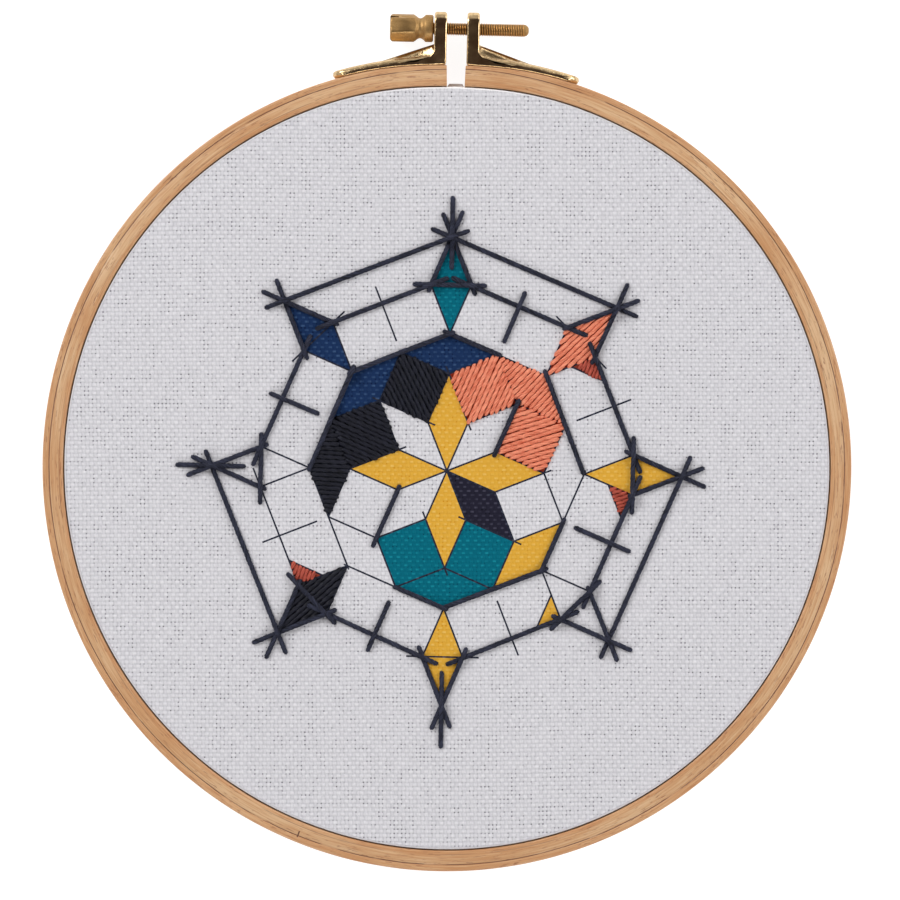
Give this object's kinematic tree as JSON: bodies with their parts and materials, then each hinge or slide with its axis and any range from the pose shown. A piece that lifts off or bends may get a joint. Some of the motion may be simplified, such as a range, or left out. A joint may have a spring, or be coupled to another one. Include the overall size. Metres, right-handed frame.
{
  "type": "hoop embroidery art with its wooden embroidery hoop",
  "caption": "Round of taut evenweave cloth with stitched and printed star patchwork, held between beech hoop rings with a brass tightening screw.",
  "frame": {"origin": "centre of the footprint on the surface that the hoop lies on", "axes": "+Z out of the worked face of the cloth, +Y from the hoop's centre to the tightening screw, +X along the screw away from its knob"},
  "size_m": [0.2, 0.2126, 0.009],
  "materials": {
    "beech": "bare sanded beech, two bonded layers",
    "beech_inner": "bare sanded beech",
    "cloth": "plain evenweave white cotton with stitched and printed patchwork",
    "thread": "stranded cotton",
    "polished_brass": "bright lacquered brass plate",
    "turned_brass": "satin turned brass"
  },
  "bodies": {
    "hoop": {"outer_ring": "beech", "inner_ring": "beech_inner", "cloth": "cloth", "bracket_left": "polished_brass", "bracket_right": "polished_brass"},
    "screw": {"screw": "turned_brass"}
  },
  "joints": [
    {"name": "screw_turn", "type": "hinge", "parent": "hoop", "child": "screw", "pos_m": [0, 0.10225, 0.0045], "axis": [1, 0, 0], "continuous": true}
  ]
}
